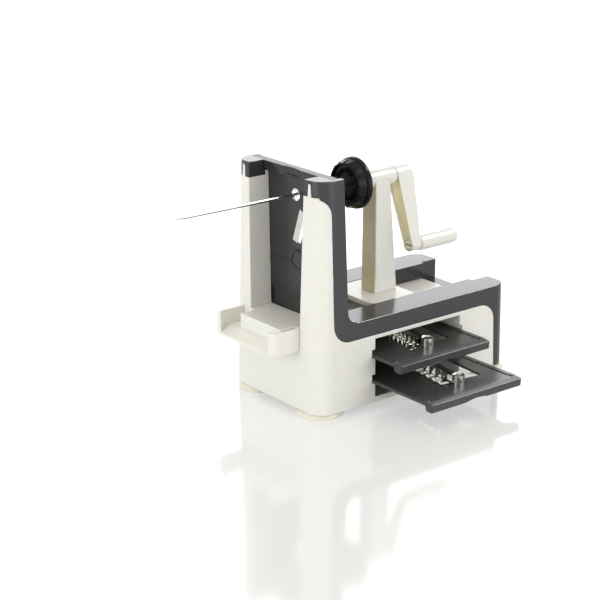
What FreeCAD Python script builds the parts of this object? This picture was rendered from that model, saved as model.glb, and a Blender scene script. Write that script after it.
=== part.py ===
import FreeCAD, Part
import math
import os

# Hand-cranked spiralizer, in millimetres. While it is modelled, X runs from the cutting plate to
# the crank with 0 at the foot of the columns, Y = 0 is the plane of the crank's axis and Z = 0 is
# near the floor of the plate store. export() moves everything to the final origin.

os.makedirs("parts", exist_ok=True)
V = FreeCAD.Vector
slide_gap = 0.3              # clearance of everything that slides

# --- Blade plates ---
plate_width = 125.8
plate_length = 155.0
plate_thickness = 3.4
plate_recess = 0.8           # the middle of the food side lies this much lower
plate_rim = 6.0
plate_corner = 3.0
recess_corner = 4.0
foot_step = 134.8            # the plate is thinner on its back beyond this length
foot_step_depth = 1.8
lip_length = plate_width - 2.4
lip_thickness = 9.4
lip_depth = 9.5
lip_slope = 2.5
lip_corner = 1.0             # radius of the lip's lower outer edge
lip_land = 6.0               # width of the lip's highest strip
lip_draft = 0.8
scallop_length = 30.0
scallop_depth = 2.2
lip_bump = 1.0               # height of the two small blocks that lift the lip's ends
lip_bump_size = 4.0
tube_radius = 6.5
tube_bore = 5.4
tube_height = 9.0
tube_edge = 0.2              # width of the tube's cutting edge
tube_bevel = 1.2
tube_to_lip = 29.1           # from the core tube's axis to the lip's outer edge
insert_start = (-20.0, 4.0)  # left edge of the steel insert, across and along, from the core tube
insert_end = (-13.2, 60.0)
insert_width = 18.5
insert_thickness = 1.2
tooth_thickness = 0.8
tooth_tip = 0.8
fine_teeth = 6               # in each of two rows
fine_pitch = 7.7
fine_start = 10.2            # first hole of the left row, along the insert
fine_left = 9.5              # the two rows, from the insert's left edge
fine_right = 15.5
fine_hole = 1.8
fine_setback = 0.4           # from each round hole to its tooth
fine_tooth_width = 3.6
fine_tooth_height = 4.6
coarse_teeth = 5
coarse_pitch = 10.4
coarse_start = 4.7
coarse_hole_left = 4.5
coarse_hole_right = 15.5
coarse_hole_length = 6.0
coarse_tooth_left = 6.5
coarse_tooth_height = 6.5
blade_start = (9.0, 6.5)     # left edge of the straight blade, from the core tube
blade_end = (18.1, 61.0)
blade_width = 7.8
blade_thickness = 1.0
exit_corners = [(-17.5, 8.8), (-11.2, 57.5), (41.2, 57.5, 3.0), (36.9, 4.7, 1.0), (17.7, 7.1),
                (9.0, 8.8)]  # exit opening, from the core tube
plain_blade_top = (6.6, 14.0)    # lower left side of the plain blade, from the core tube
plain_blade_end = (-4.5, 47.7)
plain_blade_width = 8.0
plain_blade_proud = 0.2      # in front of the plate's back
plain_slot = 4.0             # gap beside the plain blade that lets the slice through
rib_height = 1.0
rib_width = 1.2
rib_root = 0.5               # depth by which a rib grows into the plate
long_rib = ((-40.4, 79.6), (-25.4, 100.8))      # ends, across the plate and from the lip
short_rib = ((-36.4, 78.1), (-20.4, 100.2))
cross_rib = ((-40.0, 103.3), (-7.9, 100.5))
boss_corners = [(-1.3, 86.5), (-5.4, 92.8), (-7.9, 100.9), (-3.0, 104.0), (6.8, 108.5),
                (16.0, 106.0), (14.0, 88.0)]
boss_height = 1.6
boss_rim = 1.4               # rim round the boss's sunk middle
boss_sink = 1.0
step_rib_setback = 2.4       # from the step to the rib above it

# --- Housing and columns ---
groove_half = plate_width / 2 + slide_gap
skirt_bottom = -1.5          # lower edge of the white housing
column_top = 240.0
top_half_width = groove_half + 5.9           # outer half width at the top of the columns
bottom_half_width = top_half_width + 4.5     # and at Z = 0
front_lean = 3.1             # how far the columns' fronts lean back over their height
inner_half_top = groove_half - 18.5          # half the gap between the columns at their top
inner_half_bottom = inner_half_top - 6.2     # and at Z = 0
column_back = 28.3           # rear face of the white column, against the plate in use
front_corner = 18.0          # plan radius of the front corners
rear_corner = 16.0
wall = 2.6                   # wall of the white mouldings
deck_top = 70.7
deck_thickness = 3.0
deck_end = 239.8             # rear face of the housing between the legs
pocket_top = column_top - 26.0               # top of the hollow inside each column
base_plate_thickness = 2.5

# --- Dark trims: column cap, column edge, rail and rear leg ---
rail_top = 89.0
rail_inner = inner_half_bottom - 2.2         # half the gap between the rails
rail_end = deck_end + 22.9
leg_front_top = deck_end + 2.5
leg_front_bottom = deck_end + 4.2
leg_inner = inner_half_bottom + 2.8          # half the gap between the legs
edge_front_top = 18.2        # front boundary of the dark column edge, high up
edge_front_low = 20.8        # and low down
edge_back_top = 34.3         # rear boundary of the dark column edge
edge_back_low = 39.2
cap_bottom = column_top - 16.4
cap_top_wall = 3.4
cap_wall = 2.0
cap_front_depth = 22.1       # the cap ends here, in front of the plate's lip
cap_inner_depth = 24.3       # the cap's skirt on the column's inner face ends here
slit_middle = inner_half_top + 8.3           # white slit in the front of each cap
slit_half_low = 2.6
slit_half_high = 1.6
slit_corner = 1.2
cap_blend = 18.8
front_blend = 21.0
rear_blend = 14.0
arch_blend = 19.0
rail_start = edge_front_low + front_blend
trim_wall = 2.8
channel_height = 2.9         # undercut of the rail that holds the sled down
channel_depth = 3.0
keeper_thickness = 3.0       # rib behind the plate in use
keeper_reach = 3.4
keeper_top = column_top - 14.0
crossbar_depth = 14.2
crossbar_height = 12.7

# --- Seat block and catch tray ---
block_top = 86.0
block_front = -18.0
block_near = 3.7 - inner_half_bottom
block_far = inner_half_bottom - 5.5
tray_front = -32.5
tray_near = -inner_half_bottom - 2.7
tray_far = bottom_half_width - 19.6
tray_lip = 9.3               # width of the tray's front wall at its near end
tray_return = 5.7            # and at its far end
tray_wall = 2.5
tray_bottom = 61.3
tray_corner = 8.0

# --- Store for the two spare plates ---
store_middle = 133.4
store_front_wall = store_middle - groove_half - 4.6
store_rear_wall = store_middle + groove_half + 5.0
door_front = store_middle - plate_width / 2 + 3.9    # opening in the near side wall
door_rear = store_middle + plate_width / 2 - 3.5
door_bottom = 3.8
door_top = 66.8
groove_height = 8.8
upper_food_side = 50.3
store_pitch = 27.0
closed_lip = -bottom_half_width - 12.0       # outer edge of the lip of a plate pushed home
upper_pulled = 29.9          # how far each plate is pulled out
lower_pulled = 77.4

# --- Feet ---
foot_height = 5.6            # below the housing's lower edge
foot_radius = 24.5
foot_ring = 3.0              # width of the ring that touches the table
foot_neck = 5.0
foot_button = 7.5
foot_button_height = 2.0
foot_shoulder = 3.2          # the flat top ends this far inside the rim
foot_slope = 2.0
foot_slope_height = 1.6
foot_rim_height = 2.2
foot_cup = 8.5               # the cup's edge lies this far inside the rim
foot_cup_edge = 2.4
foot_cup_height = 3.4
foot_front_x = 21.0
foot_rear_x = deck_end + 0.2
foot_front_y = bottom_half_width - 24.6
foot_rear_y = bottom_half_width - 15.6

# --- Carriage ---
axis_height = column_top - tube_to_lip       # crank axis, through the middle of the core tube
sled_front = 102.7
sled_rear = 162.4
sled_top = 88.6
sled_thickness = 5.2
sled_corner = 10.0
sled_rear_corner = 3.0
runner_width = 7.0
tongue_gap = 0.4             # sideways, in the rail's channel
tower_front = 126.0
tower_rear = 156.9
tower_rear_top = 145.4
tower_front_top = 127.3
tower_half_bottom = 11.1
tower_half_top = 9.5
tower_wall = 2.6
barrel_front = 110.4
barrel_rear = 157.6
barrel_radius = 9.5
bush_radius = 7.5
bush_length = 12.0
bush_flange = 0.8
screw_radius = 1.6
screw_head_radius = 3.0
screw_head_height = 1.8
screw_length = 11.0
screw_inset = 4.2
screw_boss = 3.6

# --- Crank ---
shaft_radius = 5.0
shaft_clearance = 0.06
shaft_end = 172.0
shaft_tap_depth = 10.0       # threaded hole for the arm's screw
disc_radius = 27.5
disc_flange = 6.4            # thickness of the disc's widest part
disc_back = 108.4
disc_front = 92.0
disc_face_depth = 3.0        # the face lies this deep inside the crown
flange_chamfer = 1.6
flange_draft = 0.6
crown_radius = 23.6
crown_wall = 2.4
crown_draft = 0.4
crown_ribs = 22
crown_rib_height = 2.2
crown_rib_width = 2.2
crown_rib_inset = 0.6
disc_teeth = 12
disc_tooth_ring = 14.6
disc_tooth_length = 7.0
disc_tooth_radius = 2.6
disc_tooth_point = 0.4
root = 0.5                   # depth by which a rib or tooth grows into the disc
skewer_radius = 1.7
skewer_tip = -120.0
skewer_point = 12.0
skewer_point_radius = 0.15
arm_front = 158.0
arm_hub_end = 179.0
arm_end_back = 171.6
arm_hub_radius = 9.5
arm_end_radius = 7.0
arm_edge = 2.0
throw_y = -26.7              # grip axis from the crank axis
throw_z = -70.9
arm_screw_head = 5.0
arm_screw_depth = 3.0        # counterbore for the screw's head
arm_screw_sunk = 0.6
arm_screw_radius = 2.0
arm_screw_length = 9.0       # in the shaft
socket_radius = 2.0
socket_depth = 1.6
grip_radius = 8.3
grip_end_radius = 7.9
grip_length = 51.5
grip_edge = 1.5
grip_taper = 6.0
grip_shoulder = 0.7
pin_radius = 4.2
pin_clearance = 0.06
pin_recess = 0.2             # the pin ends this far inside the arm
pin_lead = 0.6
pin_hook = 1.0
pin_hook_length = 1.6
pin_slot = 1.6
pin_slot_depth = 9.0
snap_recess = 2.4
snap_gap = 0.4

# --- Values that follow ---
far = 100.0                  # beyond every surface, for cutting
plate_front = column_back + slide_gap
plate_food_side = plate_front + plate_thickness
lip_seat = column_top - lip_depth - lip_slope - slide_gap
lower_food_side = upper_food_side - store_pitch
insert_bed = -plate_recess - insert_thickness
disc_flange_front = disc_back - disc_flange
throw = math.hypot(throw_y, throw_z)
grip_y = throw_y
grip_z = axis_height + throw_z
rail_channel_top = deck_top + channel_height
base_plate_top = skirt_bottom + base_plate_thickness
lower_lip = closed_lip - lower_pulled
upper_lip = closed_lip - upper_pulled
foot_bottom = skirt_bottom - foot_height
rear_reach = max(rail_end, foot_rear_x + foot_radius)
side_reach = max(bottom_half_width, foot_front_y + foot_radius, foot_rear_y + foot_radius)
origin = V((skewer_tip + rear_reach) / 2, (lower_lip + side_reach) / 2, foot_bottom)


# --- Helpers ---
def lean(bottom, top, z):
    return bottom + (top - bottom) * z / column_top


def half_width(z):
    return lean(bottom_half_width, top_half_width, z)


def front_x(z):
    return lean(0.0, front_lean, z)


def inner_half(z):
    return lean(inner_half_bottom, inner_half_top, z)


def on_side(y):
    return lambda a, b: V(a, y, b)


def on_floor(z):
    return lambda a, b: V(a, b, z)


def on_front(x):
    return lambda a, b: V(x, a, b)


def corner_arc(before, corner, after, radius):
    """Start, middle and end of the arc that rounds a corner of an outline."""
    p = V(corner[0], corner[1], 0)
    to_before = (V(before[0], before[1], 0) - p).normalize()
    to_after = (V(after[0], after[1], 0) - p).normalize()
    half_angle = to_before.getAngle(to_after) / 2
    reach = radius / math.tan(half_angle)
    bisector = (to_before + to_after).normalize()
    centre = p + bisector * (radius / math.sin(half_angle))
    return p + to_before * reach, centre - bisector * radius, p + to_after * reach


def outline(corners, place_point):
    """Closed wire through corners (a, b) or (a, b, radius)."""
    count = len(corners)
    arcs = []
    for i, corner in enumerate(corners):
        if len(corner) == 3 and corner[2] > 0:
            arcs.append(corner_arc(corners[i - 1], corner, corners[(i + 1) % count], corner[2]))
        else:
            arcs.append((V(corner[0], corner[1], 0),) * 3)
    edges = []
    for i, (start, middle, end) in enumerate(arcs):
        previous_end = arcs[i - 1][2]
        if previous_end.distanceToPoint(start) > 1e-6:
            edges.append(Part.LineSegment(place_point(previous_end.x, previous_end.y),
                                          place_point(start.x, start.y)).toShape())
        if start.distanceToPoint(end) > 1e-6:
            edges.append(Part.Arc(place_point(start.x, start.y), place_point(middle.x, middle.y),
                                  place_point(end.x, end.y)).toShape())
    return Part.Wire(edges)


def prism(corners, place_point, direction):
    return Part.Face(outline(corners, place_point)).extrude(direction)


def box(x0, x1, y0, y1, z0, z1):
    return Part.makeBox(x1 - x0, y1 - y0, z1 - z0, V(x0, y0, z0))


def loft(lower, upper):
    return Part.makeLoft([lower, upper], True, True)


def rectangle(x0, x1, y0, y1, z):
    return outline([(x0, y0), (x1, y0), (x1, y1), (x0, y1)], on_floor(z))


def cylinder_x(radius, x0, x1, y=0.0, z=axis_height):
    return Part.makeCylinder(radius, x1 - x0, V(x0, y, z), V(1, 0, 0))


def revolve_x(profile, y=0.0, z=axis_height):
    """Solid of revolution about a line along X through (y, z); profile holds (x, radius)."""
    points = [V(x, y, z + r) for x, r in profile]
    face = Part.Face(Part.makePolygon(points + [points[0]]))
    return face.revolve(V(0, y, z), V(1, 0, 0), 360)


def mirrored(shape):
    return shape.mirror(V(0, 0, 0), V(0, 1, 0))


def fused(shapes):
    return shapes[0].fuse(shapes[1:]).removeSplitter()


def export(shape, node):
    placed = shape.copy()
    placed.translate(origin * -1)
    placed.exportStep("parts/" + node + ".step")


# --- Shared skins ---
def plan(z, inset):
    w = half_width(z) - inset
    x0 = front_x(z) + inset
    x1 = rail_end - inset
    rf = front_corner - inset
    rr = rear_corner - inset
    return outline([(x0, -w, rf), (x1, -w, rr), (x1, w, rr), (x0, w, rf)], on_floor(z))


def skin(inset=0.0):
    """The machine's drafted outer form, or the same form set inwards."""
    return loft(plan(skirt_bottom, inset), plan(column_top, inset))


def column_wedge(x0, x1, z0, z1, inset=0.0):
    """Everything outside the far column's inner face, between two heights."""
    y0 = inner_half(z0) + inset
    y1 = inner_half(z1) + inset
    return loft(rectangle(x0, x1, y0, far, z0), rectangle(x0, x1, y1, far, z1))


def trim_outline():
    """Side view of the dark trim."""
    return [(-far, cap_bottom),
            (edge_front_top, cap_bottom, cap_blend),
            (edge_front_low, deck_top, front_blend),
            (leg_front_top, deck_top, arch_blend),
            (leg_front_bottom, skirt_bottom),
            (rail_end + far, skirt_bottom),
            (rail_end + far, rail_top),
            (edge_back_low, rail_top, rear_blend),
            (edge_back_top, column_top),
            (-far, column_top)]


def lip_pocket():
    """Room for the lip of the plate in use, in front of its panel and above the column."""
    return box(cap_front_depth, plate_food_side + far, -groove_half, groove_half,
               lip_seat, column_top + 1)


def cap_slit(low, high):
    """White strip that shows through the front of the far cap."""
    corners = [(slit_middle - slit_half_low, low), (slit_middle + slit_half_low, low),
               (slit_middle + slit_half_high, high, slit_corner),
               (slit_middle - slit_half_high, high, slit_corner)]
    return prism(corners, on_front(-1), V(front_lean + cap_wall + 2, 0, 0))


def cap_core():
    """White column inside the cap's skirt and top."""
    low = cap_bottom - 1
    top = column_top - cap_top_wall
    core = skin(cap_wall).common(box(0, column_back, 0, groove_half, low, top))
    core = core.common(column_wedge(0, far, low, top, cap_wall))
    strip = box(cap_inner_depth, column_back, 0, groove_half, low, top)
    strip = strip.common(column_wedge(0, far, low, top))
    return fused([core, cap_slit(low, top), strip]).cut(lip_pocket())


def far_trim():
    body = skin()
    profile = trim_outline()
    edge = body.common(prism(profile, on_side(groove_half), V(0, far, 0)))
    leg = body.common(prism(profile, on_side(leg_inner), V(0, far, 0)))
    leg = leg.common(box(leg_front_top, rail_end + 1, leg_inner, far, skirt_bottom, deck_top))
    rail = body.common(box(rail_start, rail_end + 1, rail_inner, far, deck_top, rail_top))
    cap = body.common(column_wedge(-1, cap_inner_depth, cap_bottom, column_top))
    cap = cap.cut(lip_pocket()).cut(cap_core())
    keeper_front = plate_food_side + slide_gap
    keeper = box(keeper_front, keeper_front + keeper_thickness, groove_half - keeper_reach,
                 groove_half + 1, rail_top - 1, keeper_top)
    trim = fused([edge, leg, rail, cap, keeper])
    trim = trim.cut(box(deck_end, rail_end + 1, 0, leg_inner, deck_top, rail_top + 1))
    trim = trim.cut(box(0, deck_end, 0, rail_inner + channel_depth, deck_top, rail_channel_top))
    trim = trim.cut(trim_hollows())
    return trim.cut(base_plate_blank())


def trim_hollows():
    """Hollows inside the rail and the leg; the deck and the base plate close them."""
    inner = skin(trim_wall)
    rail = box(rail_start + trim_wall, deck_end - trim_wall,
               rail_inner + channel_depth + trim_wall, far, deck_top - 1, rail_top - trim_wall)
    leg = box(leg_front_bottom + trim_wall, rail_end, leg_inner + trim_wall, far,
              skirt_bottom - 1, deck_top - trim_wall)
    return inner.common(rail).fuse(inner.common(leg))


def housing(near_trim_shape, far_trim_shape):
    body = skin()
    base = body.common(box(-1, leg_front_bottom, -far, far, skirt_bottom, deck_top))
    base = base.cut(box(deck_end, rail_end, -leg_inner, leg_inner, skirt_bottom - 1, deck_top + 1))
    column = body.common(column_wedge(-1, column_back, skirt_bottom, column_top))
    column = column.cut(lip_pocket())
    under_arc = body.common(box(column_back - 1, rail_start, groove_half, far, deck_top - 1,
                                deck_top + front_blend / 2))
    side = fused([column, under_arc])
    shell = fused([base, side, mirrored(side)])
    shell = shell.cut(housing_cavity())
    hollow = column_hollow()
    shell = shell.cut([hollow, mirrored(hollow), near_trim_shape, far_trim_shape])
    return shell.cut(store_door())


def housing_cavity():
    inner = skin(wall)
    room = box(0, deck_end - wall, -far, far, skirt_bottom - 1, deck_top - deck_thickness)
    ends = box(0, rail_end, -far, far, skirt_bottom - 1, base_plate_top)
    between_legs = box(deck_end - wall, rail_end, -leg_inner - trim_wall, leg_inner + trim_wall,
                       skirt_bottom - 2, base_plate_top)
    return inner.common(room.fuse(ends.cut(between_legs)))


def base_plate_blank():
    return housing_cavity().common(box(0, rail_end, -far, far, skirt_bottom, base_plate_top))


def column_hollow():
    """Hollow inside the far column, open to the housing's cavity."""
    low = deck_top - deck_thickness - 1
    back = column_back - wall
    lower = rectangle(front_x(low) + wall, back, inner_half(low) + wall, groove_half - wall, low)
    upper = rectangle(front_x(pocket_top) + wall, back, inner_half(pocket_top) + wall,
                      groove_half - wall, pocket_top)
    block = loft(lower, upper)
    clear_of_edge = box(0, edge_front_top - wall, 0, far, low, pocket_top)
    clear_of_edge = clear_of_edge.fuse(box(0, far, 0, groove_half - wall, low, pocket_top))
    return block.common(skin(wall)).common(clear_of_edge)


def groove_levels():
    """Lower side of the groove of each stored plate."""
    return [level - plate_thickness - slide_gap for level in (upper_food_side, lower_food_side)]


def store_grooves(y0, y1):
    return [box(store_middle - groove_half, store_middle + groove_half, y0, y1, level,
                level + groove_height) for level in groove_levels()]


def store_door():
    """Opening of the plate store in the near side wall, with the plates' notches."""
    opening = box(door_front, door_rear, -far, -leg_inner, door_bottom, door_top)
    return fused([opening] + store_grooves(-far, -leg_inner))


def store_guide(x0, x1):
    guide = skin(wall).common(box(x0, x1, -far, far, base_plate_top, deck_top - deck_thickness))
    return guide.cut(store_grooves(-far, far))


def rear_crossbar():
    return box(deck_end, deck_end + crossbar_depth, -leg_inner, leg_inner,
               deck_top - crossbar_height, deck_top)


def seat_block(housing_shape):
    """Raised white block between the columns, open below."""
    block = box(block_front, column_back, block_near, block_far, deck_top, block_top)
    column = column_wedge(-1, column_back + 1, skirt_bottom, column_top)
    between = box(0, column_back, -far / 2, far / 2, deck_top, block_top)
    block = fused([block, between.cut([column, mirrored(column)])])
    hollow = box(block_front + wall, column_back - wall, block_near + wall, block_far - wall,
                 deck_top - 1, block_top - wall)
    return block.cut(hollow).cut(housing_shape)


def tray_plan(inset):
    return [(tray_front + inset, tray_near + inset, tray_corner - inset),
            (column_back, tray_near + inset), (column_back, tray_far - inset),
            (tray_front + inset, tray_far - inset)]


def front_tray():
    """Tray in front of the housing: walls on three sides, open in front, floor rising inwards."""
    rim = prism(tray_plan(0), on_floor(tray_bottom), V(0, 0, block_top - tray_bottom))
    rim = rim.cut(prism(tray_plan(tray_wall), on_floor(tray_bottom - 1), V(0, 0, column_top)))
    mouth = box(tray_front - 1, tray_front + tray_wall, tray_near + tray_lip,
                tray_far - tray_return, tray_bottom - 1, block_top + 1)
    rise = 1.0 - tray_wall / (block_front - tray_front)
    profile = [(tray_front, tray_bottom), (tray_front, tray_bottom + tray_wall),
               (block_front, deck_top), (column_back, deck_top),
               (column_back, deck_top - tray_wall), (block_front + rise, deck_top - tray_wall),
               (tray_front + tray_wall, tray_bottom)]
    floor = prism(profile, on_side(tray_near), V(0, tray_far - tray_near, 0))
    floor = floor.common(prism(tray_plan(0), on_floor(0), V(0, 0, column_top)))
    return fused([rim.cut(mouth), floor]).cut(skin())


def foot(x, y):
    """Suction foot: cup, neck through the base plate and button above it."""
    button_top = base_plate_top + foot_button_height
    profile = [(0, button_top), (foot_button, button_top),
               (foot_button, base_plate_top), (foot_neck, base_plate_top),
               (foot_neck, skirt_bottom), (foot_radius - foot_shoulder, skirt_bottom),
               (foot_radius - foot_slope, skirt_bottom - foot_slope_height),
               (foot_radius, foot_bottom + foot_rim_height), (foot_radius, foot_bottom),
               (foot_radius - foot_ring, foot_bottom),
               (foot_radius - foot_cup, foot_bottom + foot_cup_edge),
               (0, foot_bottom + foot_cup_height)]
    points = [V(x + r, y, z) for r, z in profile]
    face = Part.Face(Part.makePolygon(points + [points[0]]))
    return face.revolve(V(x, y, 0), V(0, 0, 1), 360)


def foot_places():
    return {"foot_front_near": (foot_front_x, -foot_front_y),
            "foot_front_far": (foot_front_x, foot_front_y),
            "foot_rear_near": (foot_rear_x, -foot_rear_y),
            "foot_rear_far": (foot_rear_x, foot_rear_y)}


# --- Blade plates, in their own frame: X across, Y from the lip inwards, Z up to the food side ---
def along(start, end):
    """Unit vector from one point of a plate to another, and the one to its right."""
    direction = V(end[0] - start[0], end[1] - start[1], 0).normalize()
    return direction, V(direction.y, -direction.x, 0)


def bar(a, b, right, width, z0, z1):
    """Straight bar on the right of the line from a to b."""
    side = right * width
    corners = [(a.x, a.y), (b.x, b.y), (b.x + side.x, b.y + side.y), (a.x + side.x, a.y + side.y)]
    return prism(corners, on_floor(z0), V(0, 0, z1 - z0))


def strip(start, end, width, z0, z1):
    """Bar of a given width beside the line from start to end, both from the core tube."""
    right = along(start, end)[1]
    a = V(start[0], start[1] + tube_to_lip, 0)
    b = V(end[0], end[1] + tube_to_lip, 0)
    return bar(a, b, right, width, z0, z1)


def exit_opening():
    """Opening that lets the cut strands fall through a toothed plate."""
    corners = [(c[0], c[1] + tube_to_lip) + tuple(c[2:]) for c in exit_corners]
    return prism(corners, on_floor(-far), V(0, 0, 2 * far))


def lip():
    """Pull lip with a rounded edge, a sloping underside and a finger scallop."""
    inner = lip_depth + lip_slope
    profile = [(0, -plate_recess), (0, -plate_recess - tube_edge),
               (lip_draft, -lip_thickness, lip_corner), (lip_depth, -lip_thickness),
               (inner, -plate_thickness + tube_edge), (inner, 0), (lip_land, 0)]
    lip_bar = prism(profile, on_front(-lip_length / 2), V(lip_length, 0, 0))
    chord = scallop_length / 2
    radius = (chord ** 2 + scallop_depth ** 2) / (2 * scallop_depth)
    scallop = Part.makeCylinder(radius, lip_depth, V(0, -1, -lip_thickness + scallop_depth - radius),
                                V(0, 1, 0))
    bump_out = lip_length / 2 - 1
    bump = box(bump_out - lip_bump_size, bump_out, lip_depth, lip_depth + lip_bump_size, -1, lip_bump)
    return lip_bar.cut(scallop).fuse([bump, bump.mirror(V(0, 0, 0), V(1, 0, 0))])


def plate_blank():
    half = plate_width / 2
    corners = [(-half, lip_depth), (half, lip_depth), (half, plate_length, plate_corner),
               (-half, plate_length, plate_corner)]
    panel = prism(corners, on_floor(-plate_thickness), V(0, 0, plate_thickness))
    side = half - plate_rim
    start = lip_depth + lip_slope
    end = foot_step - plate_rim / 2
    recess = [(-side, start, recess_corner), (side, start, recess_corner),
              (side, end, recess_corner), (-side, end, recess_corner)]
    panel = panel.cut(prism(recess, on_floor(-plate_recess), V(0, 0, plate_recess + 1)))
    step = box(-half, half, foot_step, plate_length, -plate_thickness,
               -plate_thickness + foot_step_depth)
    blank = fused([panel, lip()]).cut(step)
    tube_hole = Part.makeCylinder(tube_radius, 2 * far, V(0, tube_to_lip, -far))
    return blank.cut(tube_hole)


def core_tube():
    length = plate_thickness + tube_height
    outer = Part.makeCylinder(tube_radius, length, V(0, tube_to_lip, -plate_thickness))
    bore = Part.makeCylinder(tube_bore, length, V(0, tube_to_lip, -plate_thickness))
    edge = Part.makeCone(tube_bore, tube_radius - tube_edge, tube_bevel,
                         V(0, tube_to_lip, tube_height - tube_bevel))
    return outer.cut(bore).cut(edge)


def clear_of_tube(shape):
    return shape.cut(Part.makeCylinder(tube_radius + slide_gap, 2 * far, V(0, tube_to_lip, -far)))


def insert_point(s, t, z=0.0):
    """Point at s along the insert and t across it, from its near left corner."""
    direction, right = along(insert_start, insert_end)
    return V(insert_start[0], insert_start[1] + tube_to_lip, z) + direction * s + right * t


def insert_blank():
    """Steel insert that carries the teeth; the frame's bed for it has the same form."""
    return strip(insert_start, insert_end, insert_width, insert_bed, -plate_recess)


def straight_blade():
    """Slicing blade across the opening, beside the insert."""
    return strip(blade_start, blade_end, blade_width, -plate_recess - blade_thickness,
                 -plate_recess)


def toothed_frame():
    bed = insert_blank().fuse(insert_blank().translated(V(0, 0, plate_recess)))
    return plate_blank().cut(exit_opening()).cut(bed).cut(straight_blade())


def tooth(s, left, tip, right, height):
    """Upright pointed blade that stands across the insert at s."""
    half = tooth_tip / 2
    corners = [insert_point(s, left, insert_bed), insert_point(s, right, insert_bed),
               insert_point(s, tip + half, height), insert_point(s, tip - half, height)]
    direction = along(insert_start, insert_end)[0]
    face = Part.Face(Part.makePolygon(corners + [corners[0]]))
    return face.extrude(direction * tooth_thickness)


def fine_comb():
    """Two staggered rows of small teeth, each behind a round hole."""
    holes = []
    teeth = []
    half = fine_tooth_width / 2
    for row, shift in ((fine_left, 0.0), (fine_right, -fine_pitch / 2)):
        for i in range(fine_teeth):
            s = fine_start + shift + fine_pitch * i
            holes.append(Part.makeCylinder(fine_hole, far, insert_point(s, row, -far / 2)))
            teeth.append(tooth(s + fine_hole + fine_setback, row - half, row, row + half,
                               fine_tooth_height))
    return clear_of_tube(fused([insert_blank().cut(holes)] + teeth))


def coarse_comb():
    """One row of large teeth, each behind a square hole."""
    holes = []
    teeth = []
    for i in range(coarse_teeth):
        s = coarse_start + coarse_pitch * i
        end = s + coarse_hole_length
        corners = [insert_point(a, b) for a, b in (
            (s, coarse_hole_left), (end, coarse_hole_left), (end, coarse_hole_right),
            (s, coarse_hole_right))]
        holes.append(prism([(c.x, c.y) for c in corners], on_floor(-far), V(0, 0, 2 * far)))
        teeth.append(tooth(end, coarse_tooth_left, coarse_hole_right - tooth_tip,
                           coarse_hole_right, coarse_tooth_height))
    return clear_of_tube(fused([insert_blank().cut(holes)] + teeth))


def plain_blade():
    """Wide plain blade of the plate in use, almost flush with the plate's back."""
    level = -plate_thickness - plain_blade_proud
    return clear_of_tube(strip(plain_blade_top, plain_blade_end, plain_blade_width, level,
                               level + blade_thickness))


def back_rib(ends):
    """Low rib on the back of the plate in use."""
    return bar(V(*ends[0], 0), V(*ends[1], 0), along(*ends)[1], rib_width,
               -plate_thickness - rib_height, -plate_thickness + rib_root)


def boss():
    """Raised form below the plain blade, with a sunk middle."""
    crest = -plate_thickness - boss_height
    form = prism(boss_corners, on_floor(crest), V(0, 0, boss_height + rib_root))
    middle = Part.Face(outline(boss_corners, on_floor(crest - 1))).makeOffset2D(-boss_rim)
    return form.cut(middle.extrude(V(0, 0, 1 + boss_sink)))


def working_frame():
    slot = strip(plain_blade_top, plain_blade_end, plain_blade_width + plain_slot, -far, far)
    step_rib_end = inner_half_bottom + 1.5
    step_rib_level = foot_step - step_rib_setback
    ribs = [back_rib(ends) for ends in (long_rib, short_rib, cross_rib)]
    ribs.append(back_rib(((-step_rib_end, step_rib_level), (step_rib_end, step_rib_level))))
    return plate_blank().fuse(ribs + [boss()]).removeSplitter().cut(slot)


def stored(shape, lip_edge, food_side):
    placed = shape.copy()
    placed.translate(V(store_middle, lip_edge, food_side))
    return placed


def in_use(shape):
    """Turns a plate upright: lip up, food side towards the crank."""
    turn = FreeCAD.Matrix(0, 0, 1, plate_food_side,
                          -1, 0, 0, 0,
                          0, -1, 0, column_top,
                          0, 0, 0, 1)
    placed = shape.copy()
    placed.Placement = FreeCAD.Placement(turn)
    return placed


# --- Carriage ---
def sled():
    half = rail_inner - slide_gap
    bottom = sled_top - sled_thickness
    corners = [(sled_front, -half, sled_corner), (sled_rear, -half, sled_rear_corner),
               (sled_rear, half, sled_rear_corner), (sled_front, half, sled_corner)]
    deck = prism(corners, on_floor(bottom), V(0, 0, sled_thickness))
    foot_level = deck_top + slide_gap
    x0 = sled_front + sled_corner
    x1 = sled_rear - sled_rear_corner
    runner = box(x0, x1, half - runner_width, half, foot_level, bottom)
    tongue = box(x0, x1, half - 1, rail_inner + channel_depth - tongue_gap, foot_level,
                 rail_channel_top - slide_gap)
    body = fused([deck, runner, tongue, mirrored(runner), mirrored(tongue)])
    return body.cut([Part.makeCylinder(screw_radius, sled_thickness, V(x, y, bottom))
                     for x, y in screw_places()])


def screw_places():
    xs = (tower_front + screw_inset + 1, tower_rear - screw_inset - 1)
    ys = (-tower_half_bottom + screw_inset, tower_half_bottom - screw_inset)
    return [(x, y) for x in xs for y in ys]


def tower_form(inset):
    return loft(rectangle(tower_front + inset, tower_rear - inset, -tower_half_bottom + inset,
                          tower_half_bottom - inset, sled_top),
                rectangle(tower_front_top + inset, tower_rear_top - inset, -tower_half_top + inset,
                          tower_half_top - inset, axis_height))


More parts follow.
